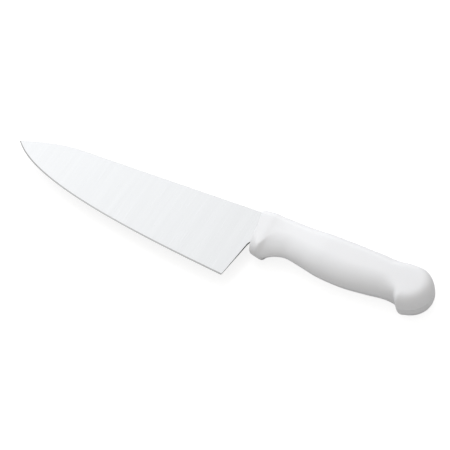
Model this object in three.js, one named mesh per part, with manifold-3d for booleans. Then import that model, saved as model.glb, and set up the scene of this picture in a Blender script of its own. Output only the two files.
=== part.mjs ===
// A commercial cook's knife: a stamped and ground stainless blade, and a polypropylene handle
// moulded round its tang. The two are locked together by pillars of plastic that fill the tang's holes.
//
// Millimetres. While the pieces are made, x = 0, y = 0 is where the spine enters the handle, +x runs to
// the butt, +y from the cutting edge to the spine, and z = 0 is the blade's middle plane.
// The finished knife lies on its side: +Z is up, and the origin is under the middle of its bounding box.

import * as THREE from "three";
import { mergeVertices } from "three/addons/utils/BufferGeometryUtils.js";
import Module from "manifold-3d";

const wasm = await Module();
wasm.setup();

// ---- Driving dimensions ----

// Blade
const BLADE_LENGTH = 203; // the tip to the handle, along the spine
const BLADE_WIDTH = 53; // the spine to the heel's corner
const TIP_DROP = 9; // the tip lies this far under the spine's line
const SPINE_CURVE = 50; // length of the spine that curves down to the tip
const SPINE_CURVE_POWER = 1.8;
const EDGE_PULL_HEEL = [-62, -47.6]; // the points that the cutting edge's curve leans towards
const EDGE_PULL_TIP = [-172, -37.8];
const STOCK_HALF = 1.1; // half the thickness of the steel it is stamped from
const TIP_TAPER = 0.0022; // half thickness lost per millimetre towards the tip
const EDGE_TAPER = 0.0158; // and per millimetre from the spine towards the edge
const BEVEL_WIDTH = 1;
const HEEL_FORWARD = 0.8; // the heel's corner lies this far ahead of where the spine meets the handle
const HEEL_SLANT = 0.13; // and the heel leans back by this much per millimetre above it
const HEEL_FILLET = 5; // the inner corner between the heel and the tang
const TIP_HEIGHT = 0.4; // the tip is this blunt
const BEVEL_SHARE = 0.6; // near the tip the bevel takes no more than this share of the section

// Tang, inside the handle
const TANG_TOP = -5;
const TANG_BOTTOM = -21.5;
const TANG_STEP = 6; // where the spine's full height ends
const TANG_FULL = 13; // from here on it keeps the stock's full thickness
const TANG_END = 98;
const TANG_HOLES = [30, 58, 86];
const TANG_HOLE_RADIUS = 3.6;
const TANG_CORNER = 4;
const TANG_TAPER = 2; // each side comes in by this much towards its end

// Handle
const GAP = 0.2; // clearance all round the steel
const HALF_GRIP = 10.75; // half thickness of the palm swell and the pommel
const HALF_NECK = 8.6;
const FRONT_EDGE = 1.1; // rounding of the front face's edge
const FRONT_BOW = 1.5; // the front face is hollow: its middle lies this far behind its ends
const POMMEL_RADIUS = 14.4;
const POMMEL_CENTRE = [118.2, -17.1];

// Fineness
const STEPS_PER_SECTION = 3;
const STEPS_PER_ROUND = 6;
const EDGE_STEPS = 30;

// ---- Solids ----

// A solid from triangles whose shared corners may be repeated. Those that close to nothing are left out.
function solidFrom(geometry) {
  geometry.deleteAttribute("normal");
  geometry.deleteAttribute("uv");
  const merged = mergeVertices(geometry, 1e-4);
  const corners = merged.index.array;
  const kept = [];
  for (let i = 0; i < corners.length; i += 3) {
    const [a, b, c] = corners.slice(i, i + 3);
    if (a !== b && b !== c && c !== a) {
      kept.push(a, b, c);
    }
  }
  const mesh = new wasm.Mesh({
    numProp: 3,
    vertProperties: merged.attributes.position.array,
    triVerts: Uint32Array.from(kept),
  });
  return new wasm.Manifold(mesh);
}

function geometryFrom(solid) {
  const { numProp, vertProperties, triVerts } = solid.getMesh();
  const places = [];
  for (let i = 0; i < vertProperties.length; i += numProp) {
    places.push(...vertProperties.slice(i, i + 3));
  }
  const geometry = new THREE.BufferGeometry();
  geometry.setAttribute("position", new THREE.Float32BufferAttribute(places, 3));
  geometry.setIndex([...triVerts]);
  geometry.computeVertexNormals();
  return geometry;
}

// A closed skin over rings of equal length, each a list of Vector3. Its two ends are filled, unless
// the last ring has closed to a line.
function loft(rings, endIsClosed = false) {
  const count = rings[0].length;
  const points = rings.flat();
  const index = [];
  for (let r = 0; r + 1 < rings.length; r++) {
    for (let k = 0; k < count; k++) {
      const a = r * count + k;
      const b = r * count + ((k + 1) % count);
      index.push(a, b, a + count, b, b + count, a + count);
    }
  }
  const last = (rings.length - 1) * count;
  for (const [a, b, c] of capTriangles(rings[0])) {
    index.push(c, b, a);
  }
  for (const [a, b, c] of endIsClosed ? [] : capTriangles(rings.at(-1))) {
    index.push(last + a, last + b, last + c);
  }
  const geometry = new THREE.BufferGeometry().setFromPoints(points);
  geometry.setIndex(index);
  return solidFrom(geometry);
}

// The triangles that fill a ring, seen as the outline that it makes across the knife.
function capTriangles(ring) {
  const outline = ring.map((p) => new THREE.Vector2(p.y, p.z));
  return THREE.ShapeUtils.triangulateShape(outline, []);
}

// A flat plate, z = -half to z = half, whose outline has corners [x, y, radius].
function plate(corners, half, holes = []) {
  const shape = new THREE.Shape();
  corners.forEach(([x, y, radius], i) => {
    const corner = new THREE.Vector2(x, y);
    const before = new THREE.Vector2(...corners.at(i - 1).slice(0, 2)).sub(corner).setLength(radius);
    const after = new THREE.Vector2(...corners[(i + 1) % corners.length].slice(0, 2));
    after.sub(corner).setLength(radius);
    const start = corner.clone().add(before);
    const end = corner.clone().add(after);
    if (i === 0) {
      shape.moveTo(start.x, start.y);
    } else {
      shape.lineTo(start.x, start.y);
    }
    if (radius > 0) {
      shape.quadraticCurveTo(x, y, end.x, end.y);
    }
  });
  shape.closePath();
  for (const [x, y, radius] of holes) {
    shape.holes.push(new THREE.Path().absarc(x, y, radius, 0, 2 * Math.PI));
  }
  const settings = { depth: 2 * half, bevelEnabled: false, curveSegments: STEPS_PER_ROUND };
  return solidFrom(new THREE.ExtrudeGeometry(shape, settings).translate(0, 0, -half));
}

// ---- Blade ----

function spineHeight(x) {
  const ahead = Math.max(0, SPINE_CURVE - BLADE_LENGTH - x) / SPINE_CURVE;
  return -TIP_DROP * ahead ** SPINE_CURVE_POWER;
}

// Half thickness of the ground sides: two flat faces that close towards the edge and the tip.
function halfThickness(x, y) {
  return STOCK_HALF + TIP_TAPER * Math.min(x, 0) + EDGE_TAPER * y;
}

function bladeSection(x, edge, grow) {
  const spine = spineHeight(x) + grow;
  const shoulder = edge + Math.min(BEVEL_WIDTH, BEVEL_SHARE * (spine - edge));
  const atSpine = halfThickness(x, spine) + grow;
  const atShoulder = halfThickness(x, shoulder) + grow;
  return [
    new THREE.Vector3(x, spine, atSpine),
    new THREE.Vector3(x, shoulder, atShoulder),
    new THREE.Vector3(x, edge, 0),
    new THREE.Vector3(x, shoulder, -atShoulder),
    new THREE.Vector3(x, spine, -atSpine),
  ];
}

// The blade with its tang. Its faces stand out by grow, which makes the hollow that it sits in.
function bladeSolid(grow = 0) {
  const tip = new THREE.Vector2(-BLADE_LENGTH, -TIP_DROP);
  const edge = new THREE.CubicBezierCurve(
    tip,
    new THREE.Vector2(...EDGE_PULL_TIP),
    new THREE.Vector2(...EDGE_PULL_HEEL),
    new THREE.Vector2(0, -BLADE_WIDTH),
  );
  const rings = edge.getPoints(EDGE_STEPS).map((p) => bladeSection(p.x, p.y, grow));
  rings[0] = bladeSection(-BLADE_LENGTH, -TIP_DROP - TIP_HEIGHT, grow);
  rings.push(bladeSection(TANG_FULL + 1, -BLADE_WIDTH, grow));
  const ground = loft(rings);

  const heelX = (y) => HEEL_SLANT * (y + BLADE_WIDTH) - HEEL_FORWARD + grow;
  const under = TANG_BOTTOM - grow;
  const over = TANG_TOP + grow;
  const below = -2 * BLADE_WIDTH;
  const behind = 2 * TANG_FULL;
  const heelCut = plate([
    [heelX(below), below, 0],
    [behind, below, 0],
    [behind, under, 0],
    [heelX(under), under, HEEL_FILLET],
  ], 2 * STOCK_HALF);
  const stepCut = plate([
    [TANG_STEP + grow, BLADE_WIDTH, 0],
    [TANG_STEP + grow, over, 1],
    [behind, over, 0],
    [behind, BLADE_WIDTH, 0],
  ], 2 * STOCK_HALF);
  const holes = TANG_HOLES.map((x) => [x, (TANG_TOP + TANG_BOTTOM) / 2, TANG_HOLE_RADIUS - grow]);
  const tang = plate([
    [TANG_FULL - grow, under, 0],
    [TANG_END + grow, under + TANG_TAPER, TANG_CORNER],
    [TANG_END + grow, over - TANG_TAPER, TANG_CORNER],
    [TANG_FULL - grow, over, 0],
  ], STOCK_HALF + grow, holes);
  return ground.subtract(heelCut).subtract(stepCut).add(tang);
}

// ---- Handle ----

const GRIP_POWER = 2; // roundness of the sections: 2 is an ellipse, more is squarer, less is sharper
const SCOOP_POWER = 1.75;
const POMMEL_POWER = 2.8;

// Cross sections from the front face to the tail. top and bottom are the profile's points, half is half the
// thickness there, and topRound and bottomRound are how far in from the profile the side becomes flat.
// The first three are the guard, which is fullest at the third, and the next three the finger's scoop.
const GUARD_SECTIONS = 3;
const GRIP = [
  { top: [1.8, 1], bottom: [7.2, -30.2], half: HALF_NECK, topRound: 7, bottomRound: 13 },
  { top: [7, 1.6], bottom: [10.8, -31], half: HALF_NECK, topRound: 7, bottomRound: 9.5 },
  { top: [12, 1.8], bottom: [14.5, -31.1], half: HALF_NECK, topRound: 7, bottomRound: 5.3 },
  { top: [16.8, 1.7], bottom: [17.9, -30.2], half: 8.2, topRound: 6.8, bottomRound: 13, power: SCOOP_POWER },
  { top: [22, 1.5], bottom: [23.1, -27.2], half: 8.1, topRound: 7, bottomRound: 14, power: SCOOP_POWER },
  { top: [29.5, 1.1], bottom: [31, -25.4], half: 8.5, topRound: 7.5, bottomRound: 14, power: SCOOP_POWER },
  { top: [41, 0.1], bottom: [42, -26.9], half: 9.5, topRound: 8, bottomRound: 13.5 },
  { top: [57, 0], bottom: [57, -29.8], half: HALF_GRIP, topRound: 8.5, bottomRound: 13.5 },
  { top: [75, -0.7], bottom: [75, -30.8], half: HALF_GRIP, topRound: 8.5, bottomRound: 13 },
  { top: [91, -1.5], bottom: [91, -29.5], half: HALF_GRIP, topRound: 8.5, bottomRound: 12.5 },
  { top: [104, -2.4], bottom: [104, -28], half: HALF_GRIP, topRound: 8.5, bottomRound: 11 },
];

// The pommel, a circle with a hook at its lower front
const POMMEL_ROUND = 8;
const POMMEL_NECK = [112, -2.8]; // the top's last point before the pommel
const HOOK = [111.7, -28]; // and the underside's, where it turns down into the hook
const HOOK_ANGLE = -99.5;
const HOOK_REACH = 0.9; // the hook stands out this far past the pommel's circle
const HOOK_FADE = 6; // power of its fading into the circle
const POMMEL_STEPS = 6;

function pommelPoint(degrees, reach = 0) {
  const angle = THREE.MathUtils.degToRad(degrees);
  const radius = POMMEL_RADIUS + reach;
  const [x, y] = POMMEL_CENTRE;
  return [x + radius * Math.cos(angle), y + radius * Math.sin(angle)];
}

// The sections over the pommel fan round its centre, and meet at the butt.
function pommelSections() {
  const shared = { half: HALF_GRIP, topRound: POMMEL_ROUND, bottomRound: POMMEL_ROUND };
  const neckMiddle = [POMMEL_NECK[0], POMMEL_CENTRE[1]];
  const sections = [{ ...shared, top: POMMEL_NECK, bottom: HOOK, middle: neckMiddle }];
  for (let k = 0; k <= POMMEL_STEPS; k++) {
    const left = 1 - k / POMMEL_STEPS;
    sections.push({
      ...shared,
      top: pommelPoint(90 * left),
      bottom: pommelPoint(HOOK_ANGLE * left, HOOK_REACH * left ** HOOK_FADE),
      middle: POMMEL_CENTRE,
    });
  }
  return sections.map((section) => ({ ...section, power: POMMEL_POWER }));
}

function gripSections() {
  return GRIP.map((section, i) => {
    const { top, bottom } = section;
    const bow = FRONT_BOW * Math.max(0, 1 - i / GUARD_SECTIONS);
    const middle = [(top[0] + bottom[0]) / 2 + bow, (top[1] + bottom[1]) / 2];
    return { power: GRIP_POWER, ...section, middle };
  });
}

// Smooth curves through the sections' values, so that a ring can be taken at any place between two of them.
const SECTIONS = [...gripSections(), ...pommelSections()];
const curveThrough = (pick) => new THREE.SplineCurve(SECTIONS.map((s) => new THREE.Vector2(...pick(s))));
const CURVES = {
  top: curveThrough((s) => s.top),
  bottom: curveThrough((s) => s.bottom),
  middle: curveThrough((s) => s.middle),
  rounds: curveThrough((s) => [s.topRound, s.bottomRound]),
  shape: curveThrough((s) => [s.half, s.power]),
};

// Half of one side of a ring: from the profile's point, up and over its rounding, in towards the middle.
// The rounding stops just short of the middle where the section is too low for it.
const ROUND_SHARE = 0.97;

function spoke(profile, middle, round, half, power, inset) {
  const reach = profile.distanceTo(middle);
  const points = [];
  for (let k = 0; k <= STEPS_PER_ROUND; k++) {
    const angle = (k / STEPS_PER_ROUND) * (Math.PI / 2);
    const fullDepth = Math.min(round, ROUND_SHARE * reach);
    const depth = inset + (fullDepth - inset) * (1 - Math.cos(angle) ** (2 / power));
    const place = profile.clone().lerp(middle, reach > 0 ? depth / reach : 0);
    points.push(new THREE.Vector3(place.x, place.y, (half - inset) * Math.sin(angle) ** (2 / power)));
  }
  return points;
}

// A ring round the handle at the given place along its sections, drawn in by inset.
function handleRing(place, inset) {
  const at = place / (SECTIONS.length - 1);
  const [top, bottom, middle, rounds, shape] = Object.values(CURVES).map((curve) => curve.getPoint(at));
  middle.x = Math.min(middle.x, POMMEL_CENTRE[0]);
  shape.x = Math.min(shape.x, HALF_GRIP);
  const over = spoke(top, middle, rounds.x, shape.x, shape.y, inset);
  const under = spoke(bottom, middle, rounds.y, shape.x, shape.y, inset);
  const near = [...over, new THREE.Vector3(middle.x, middle.y, shape.x - inset), ...under.reverse()];
  const far = near.slice(1, -1).reverse().map((p) => new THREE.Vector3(p.x, p.y, -p.z));
  return [...near, ...far];
}

// The first rings round the front face's edge: place along the sections, and share of FRONT_EDGE drawn in.
const FRONT_RINGS = [[0, 1], [0.04, 0.3], [0.16, 0]];

function handleSolid() {
  const rings = FRONT_RINGS.map(([place, share]) => handleRing(place, share * FRONT_EDGE));
  const steps = (SECTIONS.length - 1) * STEPS_PER_SECTION;
  for (let k = 1; k <= steps; k++) {
    rings.push(handleRing(k / STEPS_PER_SECTION, 0));
  }
  return loft(rings, true).subtract(bladeSolid(GAP));
}

// ---- The knife ----

const stainless = new THREE.MeshStandardMaterial({ color: 0xd9dbdc, roughness: 0.32, metalness: 1 });
const polypropylene = new THREE.MeshStandardMaterial({ color: 0xf1f1ef, roughness: 0.5, metalness: 0 });

function namedMesh(name, solid, material) {
  const mesh = new THREE.Mesh(geometryFrom(solid), material);
  mesh.name = name;
  return mesh;
}

const group = new THREE.Group();
group.add(namedMesh("blade", bladeSolid(), stainless));
group.add(namedMesh("handle", handleSolid(), polypropylene));

const box = new THREE.Box3().setFromObject(group);
const middle = box.getCenter(new THREE.Vector3());
group.position.set(-middle.x, -middle.y, -box.min.z);

export default group;
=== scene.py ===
"""Chef knife: the looks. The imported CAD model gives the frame, the places and the sizes; the blade and the
handle are made again here as fine meshes with procedural materials."""

import math

import bmesh
import bpy
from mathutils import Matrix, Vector


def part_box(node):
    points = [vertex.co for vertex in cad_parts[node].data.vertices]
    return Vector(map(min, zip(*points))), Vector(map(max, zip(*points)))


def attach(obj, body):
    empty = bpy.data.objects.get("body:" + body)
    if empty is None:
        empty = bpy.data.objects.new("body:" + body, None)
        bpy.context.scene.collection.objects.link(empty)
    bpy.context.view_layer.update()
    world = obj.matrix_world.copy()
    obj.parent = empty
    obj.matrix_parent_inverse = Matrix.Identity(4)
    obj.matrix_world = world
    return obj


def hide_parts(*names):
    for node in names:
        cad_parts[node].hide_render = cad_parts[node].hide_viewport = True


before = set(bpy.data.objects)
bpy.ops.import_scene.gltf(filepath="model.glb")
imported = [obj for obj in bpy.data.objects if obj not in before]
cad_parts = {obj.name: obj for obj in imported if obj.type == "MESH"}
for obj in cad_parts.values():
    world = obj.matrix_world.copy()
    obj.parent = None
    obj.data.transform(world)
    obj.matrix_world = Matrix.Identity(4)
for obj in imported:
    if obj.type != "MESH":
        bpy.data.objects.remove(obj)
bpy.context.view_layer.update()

MM = 0.001

# The blade's CAD box gives the place where the spine enters the handle: shapes below are in millimetres
# from there, +x to the butt, +y from the edge to the spine, and z = 0 at the blade's middle plane.
BLADE_LENGTH = 203
blade_low, blade_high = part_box("blade")
START = Vector((blade_low.x + BLADE_LENGTH * MM, blade_high.y, (blade_low.z + blade_high.z) / 2))


def placed(x, y, z):
    return (START.x + x * MM, START.y + y * MM, START.z + z * MM)


# ---- Camera ----

CAMERA_AIM = (-19.63, -17.6, 0)  # the point that the camera looks at, from the same start
CAMERA_TOWARDS = Vector((0.486, -0.425, 0.764)).normalized()  # from that point to the camera
CAMERA_DISTANCE = 1.0
CAMERA_ROLL = math.radians(19.56)  # the knife's length runs down to the right by this much
CAMERA_LENS = 122.2


def make_camera():
    along = Vector((1, 0, 0))
    along = (along - along.dot(CAMERA_TOWARDS) * CAMERA_TOWARDS).normalized()
    across = CAMERA_TOWARDS.cross(along)
    right = math.cos(CAMERA_ROLL) * along + math.sin(CAMERA_ROLL) * across
    up = CAMERA_TOWARDS.cross(right)
    data = bpy.data.cameras.new("camera")
    data.lens = CAMERA_LENS
    data.clip_start = 0.01
    camera = bpy.data.objects.new("camera", data)
    bpy.context.scene.collection.objects.link(camera)
    matrix = camera.matrix_world.copy()
    matrix.col[0].xyz = right
    matrix.col[1].xyz = up
    matrix.col[2].xyz = CAMERA_TOWARDS
    matrix.translation = Vector(placed(*CAMERA_AIM)) + CAMERA_TOWARDS * CAMERA_DISTANCE
    camera.matrix_world = matrix
    bpy.context.scene.camera = camera


# ---- Mesh helpers ----

CORNER_STEPS = 10
ROD_SIDES = 40
JOIN_DISTANCE = 0.002 * MM


def spline(values, place):
    """The Catmull-Rom curve through a list of equal-length tuples, at a place counted in list steps."""
    last = len(values) - 1
    i = min(int(place), last - 1)
    t = place - i
    near = (values[min(last, max(0, i + k))] for k in (-1, 0, 1, 2))
    return [
        0.5 * (2 * q + (r - p) * t + (2 * p - 5 * q + 4 * r - s) * t**2 + (3 * q - p - 3 * r + s) * t**3)
        for p, q, r, s in zip(*near)
    ]


def mesh_object(name, points, faces):
    """A mesh from points in millimetres. Points that coincide are joined and faces that close are dropped."""
    mesh = bpy.data.meshes.new(name)
    mesh.from_pydata([placed(*p) for p in points], [], faces)
    work = bmesh.new()
    work.from_mesh(mesh)
    bmesh.ops.remove_doubles(work, verts=work.verts, dist=JOIN_DISTANCE)
    bmesh.ops.recalc_face_normals(work, faces=work.faces)
    work.to_mesh(mesh)
    work.free()
    piece = bpy.data.objects.new(name, mesh)
    bpy.context.scene.collection.objects.link(piece)
    return piece


def skin(name, rings, closes=False):
    """Quads between rings of points, with both ends filled, unless the last ring closes to a line."""
    size = len(rings[0])
    faces = []
    for r in range(len(rings) - 1):
        for k in range(size):
            a = r * size + k
            b = r * size + (k + 1) % size
            faces.append((a, b, b + size, a + size))
    faces.append(tuple(reversed(range(size))))
    if not closes:
        faces.append(tuple(range((len(rings) - 1) * size, len(rings) * size)))
    return mesh_object(name, [p for ring in rings for p in ring], faces)


def combine(piece, other, operation):
    """Joins the other solid to the piece or cuts it away, and removes the other."""
    modifier = piece.modifiers.new("combine", "BOOLEAN")
    modifier.operation = operation
    modifier.solver = "EXACT"
    modifier.object = other
    graph = bpy.context.evaluated_depsgraph_get()
    mesh = bpy.data.meshes.new_from_object(piece.evaluated_get(graph))
    piece.modifiers.clear()
    piece.data = mesh
    bpy.data.objects.remove(other)


def smooth(piece, sharp_degrees):
    """Smooth shading, broken at every edge that turns more than the given angle."""
    for face in piece.data.polygons:
        face.use_smooth = True
    piece.data.set_sharp_from_angle(angle=math.radians(sharp_degrees))


def plate(name, corners, half):
    """A flat plate, z = -half to z = half, whose outline has corners (x, y, radius)."""
    outline = []
    for i, (x, y, radius) in enumerate(corners):
        corner = Vector((x, y))
        before = (Vector(corners[i - 1][:2]) - corner).normalized() * radius
        after = (Vector(corners[(i + 1) % len(corners)][:2]) - corner).normalized() * radius
        steps = CORNER_STEPS if radius > 0 else 0
        for k in range(steps + 1):
            t = k / max(1, steps)
            point = corner + before * (1 - t) ** 2 + after * t**2
            outline.append((point.x, point.y))
    return skin(name, [[(x, y, z) for x, y in outline] for z in (-half, half)])


def rod(name, centre, axis, radius, half_length):
    """A round rod along x (axis 0) or z (axis 2)."""
    rings = []
    for end in (-half_length, half_length):
        ring = []
        for k in range(ROD_SIDES):
            angle = 2 * math.pi * k / ROD_SIDES
            u, v = radius * math.cos(angle), radius * math.sin(angle)
            offset = (end, u, v) if axis == 0 else (u, v, end)
            ring.append(tuple(c + o for c, o in zip(centre, offset)))
        rings.append(ring)
    return skin(name, rings)


# ---- Blade ----

BLADE_WIDTH = 53
TIP_DROP = 9
TIP_HEIGHT = 0.4
SPINE_CURVE = 50
SPINE_CURVE_POWER = 1.8
EDGE_PULL_HEEL = (-62, -47.6)
EDGE_PULL_TIP = (-172, -37.8)
STOCK_HALF = 1.1
TIP_TAPER = 0.0022
EDGE_TAPER = 0.0158
BEVEL_WIDTH = 1
BEVEL_SHARE = 0.6
SPINE_EASE = 0.18  # the spine's corners are broken by this much
EASE_SHARE = 0.3
HEEL_FORWARD = 0.8
HEEL_SLANT = 0.13
HEEL_FILLET = 5
TANG_TOP = -5
TANG_BOTTOM = -21.5
TANG_STEP = 6
TANG_FULL = 13
TANG_END = 98
TANG_TAPER = 2
TANG_HOLES = (30, 58, 86)
TANG_HOLE_RADIUS = 3.6
TANG_CORNER = 4
NOTCH_CORNER = 1
EDGE_STEPS = 90


def spine_height(x):
    ahead = max(0.0, SPINE_CURVE - BLADE_LENGTH - x) / SPINE_CURVE
    return -TIP_DROP * ahead**SPINE_CURVE_POWER


def half_thickness(x, y):
    return STOCK_HALF + TIP_TAPER * min(x, 0) + EDGE_TAPER * y


def blade_section(x, edge, grow):
    spine = spine_height(x) + grow
    height = spine - edge
    shoulder = edge + min(BEVEL_WIDTH, BEVEL_SHARE * height)
    ease = min(SPINE_EASE, EASE_SHARE * height)
    side = [
        (spine, half_thickness(x, spine) - ease),
        (spine - ease, half_thickness(x, spine - ease)),
        (shoulder, half_thickness(x, shoulder)),
    ]
    near = [(x, y, z + grow) for y, z in side]
    far = [(x, y, -z) for x, y, z in reversed(near)]
    return [*near, (x, edge, 0), *far]


def edge_point(t):
    """The cutting edge, a cubic Bezier curve from the tip (t = 0) to the heel (t = 1)."""
    ends = ((-BLADE_LENGTH, -TIP_DROP), EDGE_PULL_TIP, EDGE_PULL_HEEL, (0, -BLADE_WIDTH))
    weights = ((1 - t) ** 3, 3 * (1 - t) ** 2 * t, 3 * (1 - t) * t**2, t**3)
    return [sum(w * p[axis] for w, p in zip(weights, ends)) for axis in (0, 1)]


def make_blade(name, grow=0.0):
    """The blade with its tang. Its faces stand out by grow, which makes the hollow that it sits in."""
    rings = [blade_section(*edge_point(k / EDGE_STEPS), grow) for k in range(EDGE_STEPS + 1)]
    rings[0] = blade_section(-BLADE_LENGTH, -TIP_DROP - TIP_HEIGHT, grow)
    rings.append(blade_section(TANG_FULL + 1, -BLADE_WIDTH, grow))
    blade = skin(name, rings)

    def heel_x(y):
        return HEEL_SLANT * (y + BLADE_WIDTH) - HEEL_FORWARD + grow

    under = TANG_BOTTOM - grow
    over = TANG_TOP + grow
    below = -2 * BLADE_WIDTH
    behind = 2 * TANG_FULL
    start, end = TANG_FULL - grow, TANG_END + grow
    step = TANG_STEP + grow
    heel = [
        (heel_x(below), below, 0),
        (behind, below, 0),
        (behind, under, 0),
        (heel_x(under), under, HEEL_FILLET),
    ]
    notch = [(step, BLADE_WIDTH, 0), (step, over, NOTCH_CORNER), (behind, over, 0), (behind, BLADE_WIDTH, 0)]
    tang = [
        (start, under, 0),
        (end, under + TANG_TAPER, TANG_CORNER),
        (end, over - TANG_TAPER, TANG_CORNER),
        (start, over, 0),
    ]
    combine(blade, plate("heel_cut", heel, 2 * STOCK_HALF), "DIFFERENCE")
    combine(blade, plate("notch_cut", notch, 2 * STOCK_HALF), "DIFFERENCE")
    combine(blade, plate("tang", tang, STOCK_HALF + grow), "UNION")
    for x in TANG_HOLES:
        centre = (x, (TANG_TOP + TANG_BOTTOM) / 2, 0)
        combine(blade, rod("hole", centre, 2, TANG_HOLE_RADIUS - grow, 2 * STOCK_HALF), "DIFFERENCE")
    return blade


# ---- Handle ----

GAP = 0.2
HALF_GRIP = 10.75
HALF_NECK = 8.6
FRONT_EDGE = 1.1
FRONT_BOW = 1.5
GUARD_SECTIONS = 3
GRIP_POWER = 2  # roundness of the sections: 2 is an ellipse, more is squarer, less is sharper
SCOOP_POWER = 1.75
POMMEL_POWER = 2.8
POMMEL_RADIUS = 14.4
POMMEL_CENTRE = (118.2, -17.1)
POMMEL_ROUND = 8
POMMEL_NECK = (112, -2.8)
HOOK = (111.7, -28)
HOOK_ANGLE = -99.5
HOOK_REACH = 0.9
HOOK_FADE = 6
POMMEL_STEPS = 6

# Cross sections: top x, y; bottom x, y; half thickness; how far in the side becomes flat, at top and bottom;
# and the roundness.
GRIP = [
    (1.8, 1, 7.2, -30.2, HALF_NECK, 7, 13, GRIP_POWER),
    (7, 1.6, 10.8, -31, HALF_NECK, 7, 9.5, GRIP_POWER),
    (12, 1.8, 14.5, -31.1, HALF_NECK, 7, 5.3, GRIP_POWER),
    (16.8, 1.7, 17.9, -30.2, 8.2, 6.8, 13, SCOOP_POWER),
    (22, 1.5, 23.1, -27.2, 8.1, 7, 14, SCOOP_POWER),
    (29.5, 1.1, 31, -25.4, 8.5, 7.5, 14, SCOOP_POWER),
    (41, 0.1, 42, -26.9, 9.5, 8, 13.5, GRIP_POWER),
    (57, 0, 57, -29.8, HALF_GRIP, 8.5, 13.5, GRIP_POWER),
    (75, -0.7, 75, -30.8, HALF_GRIP, 8.5, 13, GRIP_POWER),
    (91, -1.5, 91, -29.5, HALF_GRIP, 8.5, 12.5, GRIP_POWER),
    (104, -2.4, 104, -28, HALF_GRIP, 8.5, 11, GRIP_POWER),
]
STEPS_PER_SECTION = 10
STEPS_PER_ROUND = 16
ROUND_SHARE = 0.97
FRONT_RINGS = ((0, 1), (0.02, 0.55), (0.06, 0.25), (0.11, 0.06), (0.17, 0))

# The mould's parting line, a fine raised seam all round the handle at z = 0, and the gate's mark on the butt
SEAM_HALF_WIDTH = 0.14
SEAM_HEIGHT = 0.07
GATE_RADIUS = 1.5
GATE_DEPTH = 0.35
GATE_NUB_RADIUS = 0.7


def pommel_point(degrees, reach=0.0):
    angle = math.radians(degrees)
    radius = POMMEL_RADIUS + reach
    x, y = POMMEL_CENTRE
    return x + radius * math.cos(angle), y + radius * math.sin(angle)


def handle_sections():
    """Each section as (top x, y, bottom x, y, middle x, y, half, top round, bottom round, power)."""
    sections = []
    for i, (top_x, top_y, bottom_x, bottom_y, *shape) in enumerate(GRIP):
        bow = FRONT_BOW * max(0.0, 1 - i / GUARD_SECTIONS)
        middle = ((top_x + bottom_x) / 2 + bow, (top_y + bottom_y) / 2)
        sections.append((top_x, top_y, bottom_x, bottom_y, *middle, *shape))
    shape = (HALF_GRIP, POMMEL_ROUND, POMMEL_ROUND, POMMEL_POWER)
    sections.append((*POMMEL_NECK, *HOOK, POMMEL_NECK[0], POMMEL_CENTRE[1], *shape))
    for k in range(POMMEL_STEPS + 1):
        left = 1 - k / POMMEL_STEPS
        top = pommel_point(90 * left)
        bottom = pommel_point(HOOK_ANGLE * left, HOOK_REACH * left**HOOK_FADE)
        sections.append((*top, *bottom, *POMMEL_CENTRE, *shape))
    return sections


SECTIONS = handle_sections()


def spoke(profile, middle, reach_in, half, power, inset):
    """From the profile's point over its rounding towards the middle: half of one side of a ring."""
    reach = math.dist(profile, middle)
    full_depth = min(reach_in, ROUND_SHARE * reach)
    points = []

    def add(depth, z):
        part = depth / reach
        x = profile[0] + (middle[0] - profile[0]) * part
        y = profile[1] + (middle[1] - profile[1]) * part
        points.append((x, y, z))

    add(inset - SEAM_HEIGHT, 0)
    add(inset, SEAM_HALF_WIDTH)
    for k in range(1, STEPS_PER_ROUND + 1):
        angle = k / STEPS_PER_ROUND * math.pi / 2
        inward = 1 - max(0.0, math.cos(angle)) ** (2 / power)
        add(inset + (full_depth - inset) * inward, (half - inset) * math.sin(angle) ** (2 / power))
    return points


def handle_ring(place, inset=0.0):
    top_x, top_y, bottom_x, bottom_y, mid_x, mid_y, *shape = spline(SECTIONS, place)
    half, top_round, bottom_round, power = shape
    half = min(half, HALF_GRIP)
    middle = (min(mid_x, POMMEL_CENTRE[0]), mid_y)
    over = spoke((top_x, top_y), middle, top_round, half, power, inset)
    under = spoke((bottom_x, bottom_y), middle, bottom_round, half, power, inset)
    near = [*over, (*middle, half - inset), *reversed(under)]
    far = [(x, y, -z) for x, y, z in reversed(near[1:-1])]
    return near + far


def make_handle():
    rings = [handle_ring(place, share * FRONT_EDGE) for place, share in FRONT_RINGS]
    steps = (len(SECTIONS) - 1) * STEPS_PER_SECTION
    rings += [handle_ring(k / STEPS_PER_SECTION) for k in range(2, steps + 1)]
    handle = skin("handle_grip", rings, closes=True)
    combine(handle, make_blade("hollow", GAP), "DIFFERENCE")
    butt = (POMMEL_CENTRE[0] + POMMEL_RADIUS, POMMEL_CENTRE[1], 0)
    gate = rod("gate", butt, 0, GATE_RADIUS, GATE_DEPTH)
    combine(gate, rod("gate_nub", butt, 0, GATE_NUB_RADIUS, 2 * GATE_DEPTH), "DIFFERENCE")
    combine(handle, gate, "DIFFERENCE")
    return handle


# ---- Materials ----

STEEL_COLOUR = (0.594, 0.6, 0.602, 1)
STEEL_ROUGHNESS = 0.3
GRAIN_WIDTH = 0.16 * MM  # the belt's lines run from the spine to the edge
GRAIN_LENGTH = 30 * MM
GRAIN_DEPTH = 0.004 * MM
STREAK_WIDTH = 3 * MM
STREAK_AMOUNT = 0.014
# Painted shade: the edge bevel's base colour is darkened by this factor, for the dark reflection along the
# cutting edge.
HONED_PAINTED_SHADE = 0.85
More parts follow.
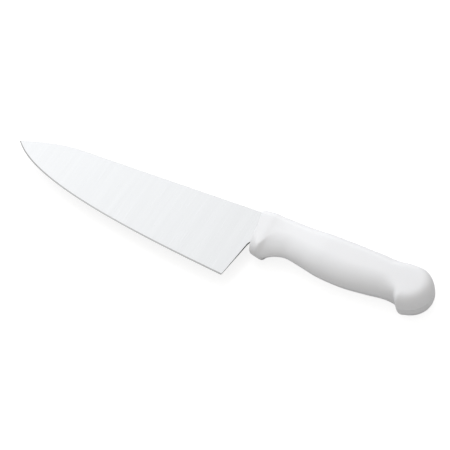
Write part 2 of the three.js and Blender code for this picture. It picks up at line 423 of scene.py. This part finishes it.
# Painted shade: the spine's and heel's base colour is darkened by this factor, for the dark reflection that
# these faces show.
BLANKED_PAINTED_SHADE = 0.8
BEVEL_ANGLE = math.radians(5)  # faces of the blade that lean more than this are the bevel
SIDE_LEAN = 0.8  # faces whose normal has less of z than this are the spine and the heel
PLASTIC_COLOUR = (0.825, 0.83, 0.84, 1)
PLASTIC_ROUGHNESS = 0.46
MOULD_GRAIN = 0.35 * MM  # the fine matt texture of the mould
MOULD_DEPTH = 0.012 * MM


def node(tree, kind, **values):
    made = tree.nodes.new(kind)
    for key, value in values.items():
        setattr(made, key, value)
    return made


def noise(tree, size, detail=3):
    """Noise whose features are about the given size, in metres along x, y and z."""
    where = node(tree, "ShaderNodeTexCoord")
    scaled = node(tree, "ShaderNodeMapping")
    scaled.inputs["Scale"].default_value = [1 / s for s in size]
    made = node(tree, "ShaderNodeTexNoise")
    made.inputs["Scale"].default_value = 1
    made.inputs["Detail"].default_value = detail
    tree.links.new(where.outputs["Object"], scaled.inputs["Vector"])
    tree.links.new(scaled.outputs["Vector"], made.inputs["Vector"])
    return made.outputs["Fac"]


def ranged(tree, value, low, high):
    """The value, mostly within 0.3 to 0.7, spread over low to high."""
    made = node(tree, "ShaderNodeMapRange")
    made.inputs["From Min"].default_value = 0.3
    made.inputs["From Max"].default_value = 0.7
    made.inputs["To Min"].default_value = low
    made.inputs["To Max"].default_value = high
    tree.links.new(value, made.inputs["Value"])
    return made.outputs["Result"]


def new_material(name):
    material = bpy.data.materials.new(name)
    material.use_nodes = True
    return material, material.node_tree, material.node_tree.nodes["Principled BSDF"]


def shaded(tree, shader, colour, amount, value):
    """Sets the base colour, made lighter and darker by the amount where the value says."""
    scale = node(tree, "ShaderNodeVectorMath", operation="SCALE")
    scale.inputs[0].default_value = colour[:3]
    tree.links.new(ranged(tree, value, 1 - amount, 1 + amount), scale.inputs["Scale"])
    tree.links.new(scale.outputs["Vector"], shader.inputs["Base Color"])


def bumped(tree, shader, value, depth):
    bump = node(tree, "ShaderNodeBump")
    bump.inputs["Strength"].default_value = 1
    bump.inputs["Distance"].default_value = depth
    tree.links.new(value, bump.inputs["Height"])
    tree.links.new(bump.outputs["Normal"], shader.inputs["Normal"])


def ground_steel():
    """The blade's flat sides, with the fine lines of a belt grinder."""
    material, tree, shader = new_material("ground_stainless")
    shader.inputs["Metallic"].default_value = 1
    grain = noise(tree, (GRAIN_WIDTH, GRAIN_LENGTH, GRAIN_LENGTH), detail=4)
    streaks = noise(tree, (STREAK_WIDTH, 2 * GRAIN_LENGTH, GRAIN_LENGTH))
    shaded(tree, shader, STEEL_COLOUR, STREAK_AMOUNT, streaks)
    rough = ranged(tree, grain, STEEL_ROUGHNESS - 0.03, STEEL_ROUGHNESS + 0.03)
    tree.links.new(rough, shader.inputs["Roughness"])
    bumped(tree, shader, grain, GRAIN_DEPTH)
    return material


def honed_steel_painted_shade():
    """The edge bevel, honed along the edge. Its base colour is painted darker: painted shade standing in for
    the dark reflection along the cutting edge.
    """
    material, tree, shader = new_material("honed_edge_painted_shade")
    shader.inputs["Metallic"].default_value = 1
    grain = noise(tree, (GRAIN_LENGTH, GRAIN_WIDTH / 2, GRAIN_WIDTH))
    # painted shade: the bevel's steel colour is scaled darker here
    shaded(tree, shader, [HONED_PAINTED_SHADE * c for c in STEEL_COLOUR], 0.04, grain)
    tree.links.new(ranged(tree, grain, 0.22, 0.3), shader.inputs["Roughness"])
    return material


def blanked_steel_painted_shade():
    """The spine and the heel, as the press and the linishing belt leave them, with their base colour painted
    darker: painted shade for the dark reflection on these faces.
    """
    material, tree, shader = new_material("blanked_stainless_painted_shade")
    shader.inputs["Metallic"].default_value = 1
    grain = noise(tree, (GRAIN_WIDTH, GRAIN_WIDTH, GRAIN_LENGTH / 10), detail=4)
    # painted shade: the spine's and heel's steel colour is scaled darker here
    shaded(tree, shader, [BLANKED_PAINTED_SHADE * c for c in STEEL_COLOUR], 0.08, grain)
    tree.links.new(ranged(tree, grain, 0.36, 0.46), shader.inputs["Roughness"])
    bumped(tree, shader, grain, 2 * GRAIN_DEPTH)
    return material


def white_plastic():
    """Moulded polypropylene: slightly see-through at its surface, with the mould's fine matt grain."""
    material, tree, shader = new_material("white_polypropylene")
    grain = noise(tree, [MOULD_GRAIN] * 3)
    tone = noise(tree, [25 * MM, 12 * MM, 12 * MM])
    shaded(tree, shader, PLASTIC_COLOUR, 0.008, tone)
    wear = noise(tree, [9 * MM, 3 * MM, 3 * MM], detail=5)
    rough = ranged(tree, wear, PLASTIC_ROUGHNESS - 0.05, PLASTIC_ROUGHNESS + 0.05)
    tree.links.new(rough, shader.inputs["Roughness"])
    bumped(tree, shader, grain, MOULD_DEPTH)
    shader.inputs["Subsurface Weight"].default_value = 0.15
    shader.inputs["Subsurface Radius"].default_value = (1, 0.95, 0.9)
    shader.inputs["Subsurface Scale"].default_value = 1.5 * MM
    return material


def paint_blade(blade):
    """Gives each face of the blade the finish that its work leaves: ground, honed or blanked. The honed bevel
    and the blanked spine and heel also carry painted shade, a darker base colour.
    """
    for material in (ground_steel(), honed_steel_painted_shade(), blanked_steel_painted_shade()):
        blade.data.materials.append(material)
    for face in blade.data.polygons:
        if abs(face.normal.z) < SIDE_LEAN:
            face.material_index = 2
        elif abs(face.normal.z) < math.cos(BEVEL_ANGLE):
            face.material_index = 1


# ---- The knife ----

# Edges that turn more than this, in degrees, are shaded sharp
HANDLE_CREASE = 32
BLADE_CREASE = 8

make_camera()
handle = make_handle()
blade = make_blade("blade_ground")
smooth(handle, HANDLE_CREASE)
smooth(blade, BLADE_CREASE)
handle.data.materials.append(white_plastic())
paint_blade(blade)
for piece, cad_node, slot in ((handle, "handle", "handle_plastic"), (blade, "blade", "blade_steel")):
    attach(piece, "root")
    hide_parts(cad_node)


# ---- Floor and light ----

FLOOR_SIZE = 12
FLOOR_GLOW = 0.8  # how much brighter the camera sees it than the light makes it
FLOOR_SEEN = 0.35
FLOOR_SHADE = 0.5  # how pale it is to the knife


def make_floor():
    corners = [(x * FLOOR_SIZE, y * FLOOR_SIZE, 0) for x, y in ((-1, -1), (1, -1), (1, 1), (-1, 1))]
    mesh = bpy.data.meshes.new("floor")
    mesh.from_pydata(corners, [], [(0, 1, 2, 3)])
    floor = bpy.data.objects.new("floor", mesh)
    bpy.context.scene.collection.objects.link(floor)
    material = bpy.data.materials.new("floor_white")
    material.use_nodes = True
    tree = material.node_tree
    tree.nodes.clear()
    seen = node(tree, "ShaderNodeBsdfPrincipled")
    seen.inputs["Base Color"].default_value = (FLOOR_SEEN, FLOOR_SEEN, FLOOR_SEEN, 1)
    seen.inputs["Roughness"].default_value = 1
    seen.inputs["Emission Color"].default_value = (1, 1, 1, 1)
    seen.inputs["Emission Strength"].default_value = FLOOR_GLOW
    felt = node(tree, "ShaderNodeBsdfDiffuse")
    felt.inputs["Color"].default_value = (FLOOR_SHADE, FLOOR_SHADE, FLOOR_SHADE, 1)
    ray = node(tree, "ShaderNodeLightPath")
    mix = node(tree, "ShaderNodeMixShader")
    out = node(tree, "ShaderNodeOutputMaterial")
    tree.links.new(ray.outputs["Is Camera Ray"], mix.inputs[0])
    tree.links.new(felt.outputs[0], mix.inputs[1])
    tree.links.new(seen.outputs[0], mix.inputs[2])
    tree.links.new(mix.outputs[0], out.inputs["Surface"])
    mesh.materials.append(material)


# The studio: a pale room, and a wide window of soft light behind and to the left of the knife, which the
# blade's flat side reflects to the camera. It grows brighter to the left, and ends where y turns negative.
ROOM_LIGHT = (0.655, 0.645, 0.635)
WINDOW_LIGHT = (1.43, 1.46, 1.51)
WINDOW_RIGHT, WINDOW_LEFT = 0.1, -0.9
WINDOW_FRONT, WINDOW_BACK = -0.25, 0.45
# A soft lamp close to the knife, above and behind the blade's heel. It leaves the butt darker.
KEY_PLACE = (-80, 150, 300)
KEY_AIM = (0, -15, 0)
KEY_SIZE = 0.2
KEY_POWER = 0.355
KEY_COLOUR = (0.97, 0.99, 1.03)


def make_light():
    world = bpy.data.worlds.new("world")
    bpy.context.scene.world = world
    world.use_nodes = True
    tree = world.node_tree
    tree.nodes.clear()
    where = node(tree, "ShaderNodeTexCoord")
    split = node(tree, "ShaderNodeSeparateXYZ")
    tree.links.new(where.outputs["Generated"], split.inputs[0])
    window = node(tree, "ShaderNodeMath", operation="MULTIPLY")
    sides = (("X", WINDOW_RIGHT, WINDOW_LEFT), ("Y", WINDOW_FRONT, WINDOW_BACK))
    for i, (axis, dark, bright) in enumerate(sides):
        edge = node(tree, "ShaderNodeMapRange", interpolation_type="SMOOTHSTEP")
        edge.inputs["From Min"].default_value = dark
        edge.inputs["From Max"].default_value = bright
        tree.links.new(split.outputs[axis], edge.inputs["Value"])
        tree.links.new(edge.outputs[0], window.inputs[i])
    total = node(tree, "ShaderNodeVectorMath", operation="MULTIPLY_ADD")
    total.inputs[1].default_value = WINDOW_LIGHT
    total.inputs[2].default_value = ROOM_LIGHT
    light = node(tree, "ShaderNodeBackground")
    out = node(tree, "ShaderNodeOutputWorld")
    tree.links.new(window.outputs[0], total.inputs[0])
    tree.links.new(total.outputs[0], light.inputs["Color"])
    tree.links.new(light.outputs[0], out.inputs["Surface"])
    key = bpy.data.lights.new("key", "AREA")
    key.energy = KEY_POWER
    key.color = KEY_COLOUR
    key.size = KEY_SIZE
    lamp = bpy.data.objects.new("key", key)
    lamp.location = placed(*KEY_PLACE)
    lamp.rotation_mode = "QUATERNION"
    lamp.rotation_quaternion = (lamp.location - Vector(placed(*KEY_AIM))).to_track_quat("Z", "Y")
    lamp.visible_glossy = False
    bpy.context.scene.collection.objects.link(lamp)
    bpy.context.scene.view_settings.view_transform = "Standard"


make_floor()
make_light()
